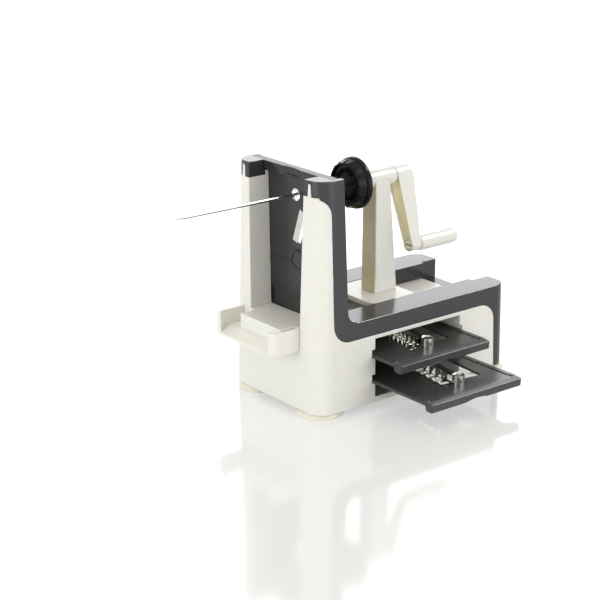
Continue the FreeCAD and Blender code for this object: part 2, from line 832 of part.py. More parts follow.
def tower():
    """Hollow tower with the barrel in which the crank's shaft turns."""
    body = fused([tower_form(0), cylinder_x(barrel_radius, barrel_front, barrel_rear)])
    hollow = tower_form(tower_wall).common(box(0, rail_end, -far, far, sled_top,
                                               axis_height - barrel_radius - tower_wall))
    bosses = [Part.makeCylinder(screw_boss, screw_length, V(x, y, sled_top))
              for x, y in screw_places()]
    body = body.cut(hollow.cut(bosses))
    body = body.cut(cylinder_x(bush_radius, barrel_front, barrel_rear))
    drill = screw_length - sled_thickness
    return body.cut([Part.makeCylinder(screw_radius, drill, V(x, y, sled_top))
                     for x, y in screw_places()])


def tower_screws():
    bottom = sled_top - sled_thickness
    screws = []
    for x, y in screw_places():
        head = Part.makeCylinder(screw_head_radius, screw_head_height,
                                 V(x, y, bottom - screw_head_height))
        shank = Part.makeCylinder(screw_radius, screw_length, V(x, y, bottom))
        screws.append(head.fuse(shank).removeSplitter())
    return Part.makeCompound(screws)


def bush(x0, x1):
    return cylinder_x(bush_radius, x0, x1).cut(cylinder_x(shaft_radius + shaft_clearance, x0, x1))


def flanged_bush(x0, x1):
    flange = cylinder_x(bush_radius + bush_flange, x0 - bush_flange, x0)
    bore = cylinder_x(shaft_radius + shaft_clearance, x0 - bush_flange, x1)
    return fused([cylinder_x(bush_radius, x0, x1), flange]).cut(bore)


# --- Crank ---
def drive_shaft():
    tap = cylinder_x(arm_screw_radius, shaft_end - shaft_tap_depth, shaft_end)
    return cylinder_x(shaft_radius, disc_flange_front, shaft_end).cut(tap)


def disc_body():
    face = disc_front + disc_face_depth
    inner = crown_radius - crown_wall
    return revolve_x([(disc_front, crown_radius), (disc_front, inner), (face, inner - crown_draft),
                      (face, 0), (disc_back, 0), (disc_back, disc_radius - flange_chamfer / 2),
                      (disc_back - flange_chamfer, disc_radius),
                      (disc_flange_front, disc_radius - flange_draft),
                      (disc_flange_front, crown_radius)])


def crown_rib(angle):
    rib = box(disc_front + crown_rib_inset, disc_flange_front + root, -crown_rib_width / 2,
              crown_rib_width / 2, axis_height + crown_radius - 1,
              axis_height + crown_radius + crown_rib_height)
    rib.rotate(V(0, 0, axis_height), V(1, 0, 0), angle)
    return rib


def disc_tooth(angle):
    turn = math.radians(angle)
    place = V(disc_front + disc_face_depth + root, disc_tooth_ring * math.cos(turn),
              axis_height + disc_tooth_ring * math.sin(turn))
    return Part.makeCone(disc_tooth_radius, disc_tooth_point, disc_tooth_length + root, place,
                         V(-1, 0, 0))


def drive_disc():
    """Black disc: ribbed crown in front, wide flange behind, conical teeth towards the food."""
    ribs = [crown_rib(360.0 * i / crown_ribs) for i in range(crown_ribs)]
    teeth = [disc_tooth(360.0 * i / disc_teeth) for i in range(disc_teeth)]
    body = disc_body().fuse(ribs + teeth).removeSplitter()
    body = body.cut(cylinder_x(shaft_radius, disc_flange_front, disc_back))
    return body.cut(cylinder_x(skewer_radius, disc_front - 1, disc_flange_front))


def skewer():
    point = Part.makeCone(skewer_point_radius, skewer_radius, skewer_point,
                          V(skewer_tip, 0, axis_height), V(1, 0, 0))
    rod = cylinder_x(skewer_radius, skewer_tip + skewer_point, disc_flange_front)
    return point.fuse(rod).removeSplitter()


def arm_outline():
    """Front view of the arm: two circles and their outer tangents, hanging straight down."""
    lean_share = (arm_hub_radius - arm_end_radius) / throw
    across = math.sqrt(1 - lean_share ** 2)
    point = on_front(arm_front)
    hub = [point(side * arm_hub_radius * across, -arm_hub_radius * lean_share) for side in (-1, 1)]
    end = [point(side * arm_end_radius * across, -throw - arm_end_radius * lean_share)
           for side in (-1, 1)]
    edges = [Part.Arc(hub[0], point(0, arm_hub_radius), hub[1]), Part.LineSegment(hub[1], end[1]),
             Part.Arc(end[1], point(0, -throw - arm_end_radius), end[0]),
             Part.LineSegment(end[0], hub[0])]
    return Part.Wire([edge.toShape() for edge in edges])


def arm_side():
    """Side view of the arm: thick hub, thinner at the grip."""
    top = arm_hub_radius + 1
    bottom = -throw - arm_end_radius - 1
    return [(arm_front, top), (arm_hub_end, top, arm_edge), (arm_hub_end, -arm_hub_radius),
            (arm_end_back, -throw + grip_radius + 1), (arm_end_back, bottom), (arm_front, bottom)]


def crank_arm():
    form = Part.Face(arm_outline()).extrude(V(arm_hub_end - arm_front, 0, 0))
    form = form.common(prism(arm_side(), on_side(-far), V(0, 2 * far, 0)))
    form.rotate(V(0, 0, 0), V(1, 0, 0), math.degrees(math.atan2(throw_y, -throw_z)))
    form.translate(V(0, 0, axis_height))
    head_bottom = arm_hub_end - arm_screw_depth
    return form.cut([
        cylinder_x(shaft_radius, arm_front, shaft_end),
        cylinder_x(arm_screw_head, head_bottom, arm_hub_end + 1),
        cylinder_x(arm_screw_radius, shaft_end, head_bottom),
        cylinder_x(pin_radius + pin_clearance, arm_front, arm_hub_end, grip_y, grip_z),
        cylinder_x(pin_radius + pin_hook + snap_gap, arm_front, arm_front + snap_recess,
                   grip_y, grip_z)])


def arm_screw():
    head_bottom = arm_hub_end - arm_screw_depth
    head_top = arm_hub_end - arm_screw_sunk
    head = cylinder_x(arm_screw_head, head_bottom, head_top)
    shank = cylinder_x(arm_screw_radius, shaft_end - arm_screw_length, head_bottom)
    point = on_front(head_top - socket_depth)
    corners = [point(socket_radius * math.cos(k * math.pi / 3),
                     axis_height + socket_radius * math.sin(k * math.pi / 3)) for k in range(7)]
    socket = Part.Face(Part.makePolygon(corners)).extrude(V(socket_depth + 1, 0, 0))
    return head.fuse(shank).removeSplitter().cut(socket)


def grip():
    """Turning grip with the split snap pin that holds it in the arm."""
    start = arm_end_back + slide_gap
    end = start + grip_length
    body = revolve_x([(start, 0), (start, grip_radius - grip_shoulder),
                      (start + grip_shoulder, grip_radius), (end - grip_taper, grip_radius),
                      (end - grip_edge, grip_end_radius), (end, grip_end_radius - grip_edge),
                      (end, 0)], grip_y, grip_z)
    pin_start = arm_front + pin_recess
    hook_back = arm_front + snap_recess - slide_gap
    pin = revolve_x([(pin_start, 0), (pin_start, pin_radius - pin_lead),
                     (hook_back - pin_hook_length, pin_radius + pin_hook),
                     (hook_back, pin_radius + pin_hook), (hook_back, pin_radius),
                     (start + 1, pin_radius), (start + 1, 0)], grip_y, grip_z)
    slot = box(arm_front, arm_front + pin_slot_depth, grip_y - far, grip_y + far,
               grip_z - pin_slot / 2, grip_z + pin_slot / 2)
    return fused([body, pin.cut(slot)])


# --- Build ---
def base_nodes():
    """Housing, trims, base plate and feet; the feet's buttons sit in room cut from the others."""
    trim_far = far_trim()
    trim_near = mirrored(trim_far)
    shell = housing(trim_near, trim_far)
    plate = base_plate_blank()
    nodes = {node: foot(x, y) for node, (x, y) in foot_places().items()}
    rooms = []
    for x, y in foot_places().values():
        rooms.append(Part.makeCylinder(foot_button, foot_button_height, V(x, y, base_plate_top)))
        plate = plate.cut(Part.makeCylinder(foot_neck, far, V(x, y, -far / 2)))
    nodes["housing"] = shell.cut(rooms)
    nodes["near_trim"] = trim_near.cut(rooms)
    nodes["far_trim"] = trim_far.cut(rooms)
    nodes["base_plate"] = plate
    nodes["rear_crossbar"] = rear_crossbar()
    nodes["seat_block"] = seat_block(nodes["housing"])
    nodes["front_tray"] = front_tray().cut(nodes["seat_block"])
    nodes["front_guide"] = store_guide(store_front_wall, door_front)
    nodes["rear_guide"] = store_guide(door_rear, store_rear_wall)
    return nodes


def plate_nodes():
    nodes = {"working_frame": in_use(working_frame()), "working_tube": in_use(core_tube()),
             "working_blade": in_use(plain_blade())}
    for name, lip_edge, level, comb in (("upper", upper_lip, upper_food_side, fine_comb()),
                                        ("lower", lower_lip, lower_food_side, coarse_comb())):
        nodes[name + "_frame"] = stored(toothed_frame(), lip_edge, level)
        nodes[name + "_tube"] = stored(core_tube(), lip_edge, level)
        nodes[name + "_comb"] = stored(comb, lip_edge, level)
        nodes[name + "_blade"] = stored(straight_blade(), lip_edge, level)
    return nodes


def moving_nodes():
    return {"sled": sled(), "tower": tower(), "tower_screws": tower_screws(),
            "front_bush": flanged_bush(barrel_front, barrel_front + bush_length),
            "rear_bush": bush(barrel_rear - bush_length, barrel_rear),
            "drive_shaft": drive_shaft(), "drive_disc": drive_disc(), "skewer": skewer(),
            "crank_arm": crank_arm(), "arm_screw": arm_screw(), "grip": grip()}


def build():
    for node, shape in {**base_nodes(), **plate_nodes(), **moving_nodes()}.items():
        export(shape, node)
        b = shape.BoundBox
        print("%-16s solids %d valid %s volume %.1f cm3  X %.1f..%.1f Y %.1f..%.1f Z %.1f..%.1f" % (
            node, len(shape.Solids), shape.isValid(), shape.Volume / 1000, b.XMin, b.XMax, b.YMin,
            b.YMax, b.ZMin, b.ZMax))


build()
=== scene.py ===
import math

import bpy
from mathutils import Matrix, Vector
from mathutils.bvhtree import BVHTree


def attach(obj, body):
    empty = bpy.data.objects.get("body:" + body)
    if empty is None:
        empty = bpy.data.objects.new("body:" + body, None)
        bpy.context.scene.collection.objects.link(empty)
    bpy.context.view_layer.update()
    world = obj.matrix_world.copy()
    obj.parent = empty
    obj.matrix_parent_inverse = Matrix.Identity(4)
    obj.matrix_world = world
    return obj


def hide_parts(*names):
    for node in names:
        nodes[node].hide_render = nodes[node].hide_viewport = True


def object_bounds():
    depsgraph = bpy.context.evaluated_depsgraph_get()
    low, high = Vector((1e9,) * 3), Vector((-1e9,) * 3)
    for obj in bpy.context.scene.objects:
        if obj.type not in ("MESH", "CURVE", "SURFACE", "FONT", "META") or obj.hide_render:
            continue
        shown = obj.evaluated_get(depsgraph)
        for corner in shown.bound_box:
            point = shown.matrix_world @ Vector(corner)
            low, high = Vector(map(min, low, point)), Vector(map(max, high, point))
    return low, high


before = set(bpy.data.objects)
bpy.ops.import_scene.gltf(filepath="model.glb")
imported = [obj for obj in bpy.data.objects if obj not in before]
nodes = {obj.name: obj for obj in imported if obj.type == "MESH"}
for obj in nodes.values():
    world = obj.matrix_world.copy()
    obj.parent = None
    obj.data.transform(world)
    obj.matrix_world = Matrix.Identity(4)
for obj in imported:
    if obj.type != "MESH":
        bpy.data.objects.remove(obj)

mm = 0.001
machineOrigin = Vector((72.25, -40.25, -7.1))  # the frame's zero in the machine's own millimetres
axisHeight = 210.9  # of the crank's axis, in the machine's millimetres
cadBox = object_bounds()
print("frame loaded:", len(nodes), "nodes")

mergeReach = {"copied": 0.002, "turned": 0.001}  # mm
edgeWork = {"bevelAngle": 28, "smoothAngle": 40, "normalWeight": 60,  # angles in degrees
            "strayShare": 0.5}  # of the bevel's width, see pullBack


def at(x, y, z):
    return (Vector((x, y, z)) - machineOrigin) * mm


def pickOnly(piece):
    bpy.ops.object.select_all(action="DESELECT")
    piece.select_set(True)
    bpy.context.view_layer.objects.active = piece


def editMode(on=True):
    bpy.ops.object.mode_set(mode="EDIT" if on else "OBJECT")


def selectMode(kind):
    bpy.ops.mesh.select_mode(type=kind)


def useModifier(piece, kind, **settings):
    pickOnly(piece)
    modifier = piece.modifiers.new(kind.lower(), kind)
    for name, value in settings.items():
        setattr(modifier, name, value)
    bpy.ops.object.modifier_apply(modifier=modifier.name)


def settle(piece):  # the object goes to the origin, its place into its mesh
    pickOnly(piece)
    bpy.ops.object.transform_apply(location=True, rotation=True, scale=True)


def linkedCopy(source):  # a copy with its own mesh
    piece = source.copy()
    piece.data = source.data.copy()
    bpy.context.scene.collection.objects.link(piece)
    return piece


def pullBack(piece, sharp, reach):  # corners that the bevel threw off the old surface return to it
    surface = BVHTree.FromObject(sharp, bpy.context.evaluated_depsgraph_get())
    stray = [vertex.index for vertex in piece.data.vertices
             if surface.find_nearest(vertex.co)[3] > reach * mm]
    piece.vertex_groups.new(name="stray").add(stray, 1.0, "REPLACE")
    useModifier(piece, "SHRINKWRAP", target=sharp, vertex_group="stray")
    piece.vertex_groups.clear()


def softEdges(piece, width, segments=3):  # rounds the edges, width in mm, and smooths the shading
    sharp = linkedCopy(piece)
    useModifier(piece, "BEVEL", width=width * mm, segments=segments, limit_method="ANGLE",
                angle_limit=math.radians(edgeWork["bevelAngle"]), use_clamp_overlap=False)
    pullBack(piece, sharp, edgeWork["strayShare"] * width)
    bpy.data.objects.remove(sharp)
    bpy.ops.object.shade_smooth_by_angle(angle=math.radians(edgeWork["smoothAngle"]))
    useModifier(piece, "WEIGHTED_NORMAL", weight=edgeWork["normalWeight"], keep_sharp=True)


def copyOfNode(nodeName, pieceName):  # merged copy of a CAD node, to be given real edges
    piece = linkedCopy(nodes[nodeName])
    piece.name = pieceName
    for key in list(piece.keys()):
        del piece[key]
    piece.parent = None
    piece.matrix_world = Matrix.Identity(4)
    piece.data.materials.clear()
    pickOnly(piece)
    bpy.ops.mesh.customdata_custom_splitnormals_clear()
    editMode()
    bpy.ops.mesh.select_all(action="SELECT")
    bpy.ops.mesh.remove_doubles(threshold=mergeReach["copied"] * mm)
    editMode(False)
    return piece


def turned(pieceName, rings, sides):  # rings: (height, radius) in mm, about Z
    height, radius = rings[0]
    bpy.ops.object.select_all(action="DESELECT")
    bpy.ops.mesh.primitive_circle_add(vertices=sides, radius=radius * mm, fill_type="NOTHING",
                                      location=(0, 0, height * mm))
    piece = bpy.context.object
    piece.name = pieceName
    settle(piece)
    editMode()
    selectMode("EDGE")
    bpy.ops.mesh.select_all(action="SELECT")
    for nextHeight, nextRadius in rings[1:]:
        rise = (0, 0, (nextHeight - height) * mm)
        bpy.ops.mesh.extrude_region_move(TRANSFORM_OT_translate={"value": rise})
        grow = nextRadius / radius
        bpy.ops.transform.resize(value=(grow, grow, 1), center_override=(0, 0, 0))
        height, radius = nextHeight, nextRadius
    bpy.ops.mesh.select_all(action="SELECT")
    bpy.ops.mesh.remove_doubles(threshold=mergeReach["turned"] * mm)
    bpy.ops.mesh.fill_holes(sides=0)
    bpy.ops.mesh.select_all(action="SELECT")
    bpy.ops.mesh.normals_make_consistent(inside=False)
    selectMode("FACE")
    editMode(False)
    return piece


def pickFaces(piece, wanted):  # selects in edit mode the faces for which wanted(middle, normal)
    editMode(False)
    for edge in piece.data.edges:
        edge.select = False
    for vertex in piece.data.vertices:
        vertex.select = False
    for face in piece.data.polygons:
        face.select = wanted(face.center / mm, face.normal)
    editMode()


def placeAlongX(piece, place):  # lays a turned piece along +X, its zero at place
    piece.rotation_euler = (0, math.pi / 2, 0)
    piece.location = place
    settle(piece)


def newMaterial(name):
    material = bpy.data.materials.new(name)
    material.use_nodes = True
    tree = material.node_tree
    place = tree.nodes.new("ShaderNodeTexCoord").outputs["Object"]
    return material, tree, tree.nodes["Principled BSDF"], place


def addNode(tree, kind, **inputs):
    node = tree.nodes.new(kind)
    for name, value in inputs.items():
        node.inputs[name.replace("_", " ")].default_value = value
    return node


noiseSpan = (0.1, 0.9)  # the noise values between which a colour or roughness changes


def noiseAt(tree, place, scale, detail, stretch=(1, 1, 1)):
    mapping = tree.nodes.new("ShaderNodeMapping")
    mapping.inputs["Scale"].default_value = stretch
    tree.links.new(place, mapping.inputs["Vector"])
    noise = addNode(tree, "ShaderNodeTexNoise", Scale=scale, Detail=detail)
    tree.links.new(mapping.outputs["Vector"], noise.inputs["Vector"])
    return noise.outputs["Fac"]


def colourBetween(tree, factor, first, second):
    ramp = tree.nodes.new("ShaderNodeValToRGB")
    for element, position, colour in zip(ramp.color_ramp.elements, noiseSpan, (first, second)):
        element.position = position
        element.color = (*colour, 1)
    tree.links.new(factor, ramp.inputs["Fac"])
    return ramp.outputs["Color"]


def valueBetween(tree, factor, source, low, high):
    span = addNode(tree, "ShaderNodeMapRange", From_Min=source[0], From_Max=source[1],
                   To_Min=low, To_Max=high)
    tree.links.new(factor, span.inputs["Value"])
    return span.outputs["Result"]


def bumpFrom(tree, factor, strength, distance):
    bump = addNode(tree, "ShaderNodeBump", Strength=strength, Distance=distance * mm)
    tree.links.new(factor, bump.inputs["Height"])
    return bump.outputs["Normal"]


noiseDetail = {"cloud": 3.0, "grain": 4.0, "streak": 5.0}
plainIor = 1.47


def cloudsAndGrain(name, look, detail, stretch=(1, 1, 1)):
    material, tree, shader, place = newMaterial(name)
    cloud = noiseAt(tree, place, look["cloudScale"], noiseDetail["cloud"])
    grain = noiseAt(tree, place, look["grainScale"], detail, stretch)
    colour = colourBetween(tree, cloud, look["colour"], look["secondColour"])
    roughness = valueBetween(tree, grain, noiseSpan, *look["roughness"])
    bump = bumpFrom(tree, grain, look["grainStrength"], look["grainDepth"])
    tree.links.new(colour, shader.inputs["Base Color"])
    tree.links.new(roughness, shader.inputs["Roughness"])
    tree.links.new(bump, shader.inputs["Normal"])
    return material, shader


def mouldedPlastic(name, look):
    material, shader = cloudsAndGrain(name, look, noiseDetail["grain"])
    shader.inputs["IOR"].default_value = look.get("ior", plainIor)
    if "subsurface" in look:
        shader.inputs["Subsurface Weight"].default_value = look["subsurface"]
        shader.inputs["Subsurface Radius"].default_value = look["subsurfaceRadius"]
        shader.inputs["Subsurface Scale"].default_value = look["subsurfaceScale"] * mm
    return material


def brushedSteel(name, look):
    material, shader = cloudsAndGrain(name, look, noiseDetail["streak"], look["stretch"])
    shader.inputs["Metallic"].default_value = 1.0
    return material


# cloud and grain scales per metre, grain depths and subsurface scales in mm
whiteDepth = {"subsurfaceRadius": (1.0, 0.75, 0.3), "subsurfaceScale": 4.0}
plateGrain = {"cloudScale": 26.0, "grainScale": 1700.0, "grainStrength": 0.12,
              "grainDepth": 0.03, "roughness": (0.24, 0.32)}
# grain for the painted front colours, which stand for shade and for light through thin walls
paintedFrontGrain = {"cloudScale": 30.0, "grainScale": 900.0, "grainStrength": 0.05,
             "grainDepth": 0.03, "roughness": (0.28, 0.36), "subsurface": 0.4, **whiteDepth}
plasticLooks = {
    "whitePlastic": {"colour": (0.795, 0.790, 0.762), "secondColour": (0.785, 0.779, 0.747),
                     "cloudScale": 14.0, "grainScale": 900.0, "grainStrength": 0.05,
                     "grainDepth": 0.03, "roughness": (0.22, 0.30), "ior": 1.33,
                     "subsurface": 0.3, **whiteDepth},
    "darkTrim": {"colour": (0.037, 0.035, 0.043), "secondColour": (0.032, 0.030, 0.037),
                 "cloudScale": 20.0, "grainScale": 1400.0, "grainStrength": 0.10,
                 "grainDepth": 0.03, "roughness": (0.15, 0.21)},
    "platePlastic": {"colour": (0.046, 0.046, 0.047), "secondColour": (0.040, 0.040, 0.041),
                     **plateGrain},
    # a darker copy of the plate plastic: painted shade, for the food's shadow on the working plate
    "paintedShadePlatePlastic": {"colour": (0.027, 0.027, 0.029), "secondColour": (0.022, 0.022, 0.024),
                       **plateGrain},
    "blackPlastic": {"colour": (0.005, 0.005, 0.006), "secondColour": (0.007, 0.007, 0.008),
                     "cloudScale": 30.0, "grainScale": 900.0, "grainStrength": 0.04,
                     "grainDepth": 0.02, "roughness": (0.16, 0.24), "ior": 1.24},
    "footRubber": {"colour": (0.80, 0.78, 0.68), "secondColour": (0.77, 0.74, 0.63),
                   "cloudScale": 40.0, "grainScale": 700.0, "grainStrength": 0.10,
                   "grainDepth": 0.05, "roughness": (0.26, 0.36), "subsurface": 0.5,
                   "subsurfaceRadius": (1.0, 0.8, 0.4), "subsurfaceScale": 4.0},
    # painted shade on the tower's front, and painted light through thin walls on the arm's and
    # grip's fronts, not colours of the plastic itself
    "paintedShadePlastic": {"colour": (0.76, 0.68, 0.46), "secondColour": (0.73, 0.64, 0.42),
                    **paintedFrontGrain},
    "paintedGlowPlastic": {"colour": (0.96, 0.88, 0.57), "secondColour": (0.95, 0.86, 0.54),
                   **paintedFrontGrain},
    "bushPlastic": {"colour": (0.68, 0.66, 0.59), "secondColour": (0.64, 0.62, 0.55),
                    "cloudScale": 60.0, "grainScale": 1500.0, "grainStrength": 0.12,
                    "grainDepth": 0.03, "roughness": (0.35, 0.5)},
}
roundStreaks = {"cloudScale": 60.0, "grainScale": 500.0, "stretch": (0.05, 1, 1),
                "grainStrength": 0.08, "grainDepth": 0.015}
flatStreaks = {"grainScale": 700.0, "stretch": (1, 0.06, 1),
               "grainStrength": 0.10, "grainDepth": 0.015}
steelLooks = {
    "turnedSteel": {"colour": (0.66, 0.65, 0.62), "secondColour": (0.58, 0.57, 0.55),
                    "roughness": (0.12, 0.22), **roundStreaks},
    "bladeSteel": {"colour": (0.70, 0.69, 0.66), "secondColour": (0.61, 0.60, 0.58),
                   "cloudScale": 80.0, "roughness": (0.08, 0.18), **flatStreaks},
    "toothSteel": {"colour": (0.46, 0.45, 0.41), "secondColour": (0.38, 0.37, 0.33),
                   "cloudScale": 120.0, "roughness": (0.06, 0.14), **flatStreaks},
    "skewerSteel": {"colour": (0.44, 0.44, 0.43), "secondColour": (0.36, 0.36, 0.35),
                    "roughness": (0.26, 0.36), **roundStreaks},
}
materials = {name: mouldedPlastic(name, look) for name, look in plasticLooks.items()}
materials.update({name: brushedSteel(name, look) for name, look in steelLooks.items()})
print("materials made:", len(materials))


def finishPiece(piece, nodeName, body, finish):
    piece.data.materials.clear()
    piece.data.materials.append(materials[finish])
    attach(piece, body)
    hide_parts(nodeName)
    print("piece", piece.name, len(piece.data.polygons), "faces")


mouldings = {  # node: piece name, body, slot, finish, edge radius in mm
    "housing": ("housingShell", "base", "white_plastic", "whitePlastic", 0.5),
    "near_trim": ("nearTrimMoulding", "base", "dark_trim", "darkTrim", 0.8),
    "far_trim": ("farTrimMoulding", "base", "dark_trim", "darkTrim", 0.8),
    "rear_crossbar": ("rearCrossbar", "base", "dark_trim", "darkTrim", 0.8),
    "seat_block": ("seatBlock", "base", "white_plastic", "whitePlastic", 0.6),
    "front_tray": ("catchTray", "base", "white_plastic", "whitePlastic", 0.6),
    "working_frame": ("workingPlateFrame", "base", "plate_plastic", "paintedShadePlatePlastic", 0.3),
    "upper_frame": ("upperPlateFrame", "upper_plate", "plate_plastic", "platePlastic", 0.4),
    "lower_frame": ("lowerPlateFrame", "lower_plate", "plate_plastic", "platePlastic", 0.4),
    "sled": ("carriageSled", "carriage", "white_plastic", "whitePlastic", 0.6),
    "tower": ("carriageTower", "carriage", "white_plastic", "whitePlastic", 0.9),
    "grip": ("turningGrip", "grip_body", "white_plastic", "whitePlastic", 0.5),
    "upper_comb": ("fineTeethInsert", "upper_plate", "steel", "toothSteel", 0.1),
    "lower_comb": ("coarseTeethInsert", "lower_plate", "steel", "toothSteel", 0.1),
}
lip = {"plates": ("upper_frame", "lower_frame"), "rounding": 0.9, "segments": 4,
       "reach": 0.05}  # how near to the outermost, highest line its edges lie, mm


def roundLip(piece):  # the top outer edge of a spare plate's lip gets a larger rounding
    corners = [vertex.co / mm for vertex in piece.data.vertices]
    outer = min(corner.y for corner in corners) + lip["reach"]
    top = max(corner.z for corner in corners if corner.y < outer) - lip["reach"]
    pickFaces(piece, lambda middle, normal: False)
    selectMode("EDGE")
    editMode(False)
    for edge in piece.data.edges:
        ends = [corners[index] for index in edge.vertices]
        edge.select = all(end.y < outer and end.z > top for end in ends)
    editMode()
    bpy.ops.mesh.bevel(offset=lip["rounding"] * mm, segments=lip["segments"], affect="EDGES",
                       clamp_overlap=False)
    selectMode("FACE")
    editMode(False)


def makeMouldings():
    for nodeName, (pieceName, body, slotName, finish, edge) in mouldings.items():
        piece = copyOfNode(nodeName, pieceName)
        if nodeName in lip["plates"]:
            roundLip(piece)
        softEdges(piece, edge)
        finishPiece(piece, nodeName, body, finish)
    print("mouldings ready:", len(mouldings))


makeMouldings()

arm = {"rim": 1.1, "hollow": 3.2, "edge": 0.6,  # mm
       "frontFacing": -0.99, "frontDepth": 0.1}  # which faces are its front
paintedFrontFacing = -0.9  # faces whose normal's x is below this are a front, coloured with painted light and shade
# painted on the front faces: shade on the tower, light coming through the thin walls on the arm and
# grip
paintedFrontLooks = {"crankArm": "paintedGlowPlastic", "carriageTower": "paintedShadePlastic",
              "turningGrip": "paintedGlowPlastic"}


def makeArm():  # the side towards the tower is hollowed out inside a thin rim
    piece = copyOfNode("crank_arm", "crankArm")
    frontPlane = min(vertex.co.x for vertex in piece.data.vertices) / mm + arm["frontDepth"]
    pickFaces(piece, lambda middle, normal: (normal.x < arm["frontFacing"]
                                             and middle.x < frontPlane))
    bpy.ops.mesh.inset(thickness=arm["rim"] * mm, use_even_offset=True)
    inwards = (arm["hollow"] * mm, 0, 0)
    bpy.ops.mesh.extrude_region_move(TRANSFORM_OT_translate={"value": inwards})
    editMode(False)
    softEdges(piece, arm["edge"])
    finishPiece(piece, "crank_arm", "crank", "whitePlastic")


def paintFrontLightAndShade(piece, finish):  # painted light and shade: the front faces get a warmer colour, standing for the shade and for the light that comes through thin walls
    piece.data.materials.append(materials[finish])
    for face in piece.data.polygons:
        if face.normal.x < paintedFrontFacing:
            face.material_index = 1


makeArm()
# the tower's front gets painted shade, the arm's and grip's fronts get painted light
for pieceName, finish in paintedFrontLooks.items():
    paintFrontLightAndShade(bpy.data.objects[pieceName], finish)
print("warm fronts done:", len(paintedFrontLooks))

foot = {"rings": [(3.0, 7.5), (1.0, 7.5), (1.0, 5.0), (-1.5, 5.0), (-1.5, 20.6), (-1.9, 21.6),
                  (-3.0, 22.7), (-4.4, 23.9), (-5.2, 24.5), (-7.1, 24.5), (-7.1, 21.5),
                  (-4.7, 16.0), (-4.2, 10.0), (-3.8, 3.0)],
        "sides": 96, "edge": 0.3, "edgeSegments": 2,
        "places": {  # node: piece name, x and y in the machine's mm
            "foot_front_near": ("suctionFootFrontNear", 21.0, -49.0),
            "foot_front_far": ("suctionFootFrontFar", 21.0, 49.0),
            "foot_rear_near": ("suctionFootRearNear", 240.0, -58.0),
            "foot_rear_far": ("suctionFootRearFar", 240.0, 58.0)}}


def makeFeet():
    cup = turned("suctionFoot", foot["rings"], foot["sides"])
    softEdges(cup, foot["edge"], foot["edgeSegments"])
    for nodeName, (pieceName, x, y) in foot["places"].items():
        piece = linkedCopy(cup)
        piece.name = pieceName
        piece.location = at(x, y, 0)
        settle(piece)
        finishPiece(piece, nodeName, "base", "footRubber")
    bpy.data.objects.remove(cup)


makeFeet()

coreTube = {"rings": [(-3.4, 5.4), (-3.4, 6.5), (9.0, 6.5), (9.0, 6.3), (7.8, 5.4), (-3.4, 5.4)],
            "sides": 64, "edge": 0.08, "edgeSegments": 2,
            "places": {  # node: piece name, body, zero in the machine's mm, upright or along X
                "working_tube": ("workingCoreTube", "base", (32.0, 0, axisHeight), False),
                "upper_tube": ("upperCoreTube", "upper_plate", (133.4, -86.4, 50.3), True),
                "lower_tube": ("lowerCoreTube", "lower_plate", (133.4, -133.9, 23.3), True)}}


def makeCoreTubes():
    for nodeName, (pieceName, body, zero, upright) in coreTube["places"].items():
        piece = turned(pieceName, coreTube["rings"], coreTube["sides"])
        softEdges(piece, coreTube["edge"], coreTube["edgeSegments"])
        if upright:
            piece.location = at(*zero)
            settle(piece)
        else:
            placeAlongX(piece, at(*zero))
        finishPiece(piece, nodeName, body, "turnedSteel")


makeCoreTubes()

disc = {"front": 92.0, "rings": [(3.0, 1.7), (3.0, 12.0), (3.0, 17.2), (3.0, 20.4), (0.2, 21.0),
                                 (0.0, 21.4), (0.0, 22.2), (0.4, 22.8), (1.6, 23.3), (9.6, 25.0),
                                 (10.6, 26.4), (11.6, 27.1), (14.8, 27.5), (16.4, 26.7),
                                 (16.4, 5.0), (10.0, 5.0), (10.0, 1.7), (3.0, 1.7)],
        "sides": 96, "edge": 0.25, "edgeSegments": 2,
        "ribSpan": (1.6, 9.6), "ribRadii": (23.0, 25.2), "ribCount": 16, "ribRise": 1.0,
        "ribAngle": 3.7, "ribTurn": 6.0,
        "toothFace": 3.0, "toothReach": 0.1, "toothRadii": (12.0, 17.2), "toothCount": 12,
        "toothHalfAngle": 7.6, "toothRing": 14.6, "toothLength": 5.0, "toothTip": 0.12}


def isBetween(value, span):
    return span[0] < value < span[1]


def angleOf(point):
    return math.degrees(math.atan2(point.y, point.x))


def isCrownRib(middle, normal):
    onCrown = isBetween(middle.z, disc["ribSpan"]) and isBetween(middle.xy.length, disc["ribRadii"])
    angle = (angleOf(middle) + disc["ribTurn"]) % (360 / disc["ribCount"])
    return onCrown and angle < disc["ribAngle"]


def isToothFoot(middle, turn):  # turn: the tooth's place round the disc in degrees
    onFace = (abs(middle.z - disc["toothFace"]) < disc["toothReach"]
              and isBetween(middle.xy.length, disc["toothRadii"]))
    return onFace and abs((angleOf(middle) - turn + 180) % 360 - 180) < disc["toothHalfAngle"]


def makeDisc():
    piece = turned("driveDisc", disc["rings"], disc["sides"])
    pickFaces(piece, isCrownRib)
    bpy.ops.mesh.extrude_region_shrink_fatten(
        TRANSFORM_OT_shrink_fatten={"value": disc["ribRise"] * mm})
    tip = disc["toothTip"]
    rise = (0, 0, -disc["toothLength"] * mm)
    reach = disc["toothRing"] * mm
    for index in range(disc["toothCount"]):
        turn = index * 360 / disc["toothCount"]
        pickFaces(piece, lambda middle, normal: isToothFoot(middle, turn))
        centre = (reach * math.cos(math.radians(turn)), reach * math.sin(math.radians(turn)), 0)
        bpy.ops.mesh.extrude_region_move(TRANSFORM_OT_translate={"value": rise})
        bpy.ops.transform.resize(value=(tip, tip, 1), center_override=centre)
    editMode(False)
    softEdges(piece, disc["edge"], disc["edgeSegments"])
    placeAlongX(piece, at(disc["front"], 0, axisHeight))
    finishPiece(piece, "drive_disc", "crank", "blackPlastic")


makeDisc()

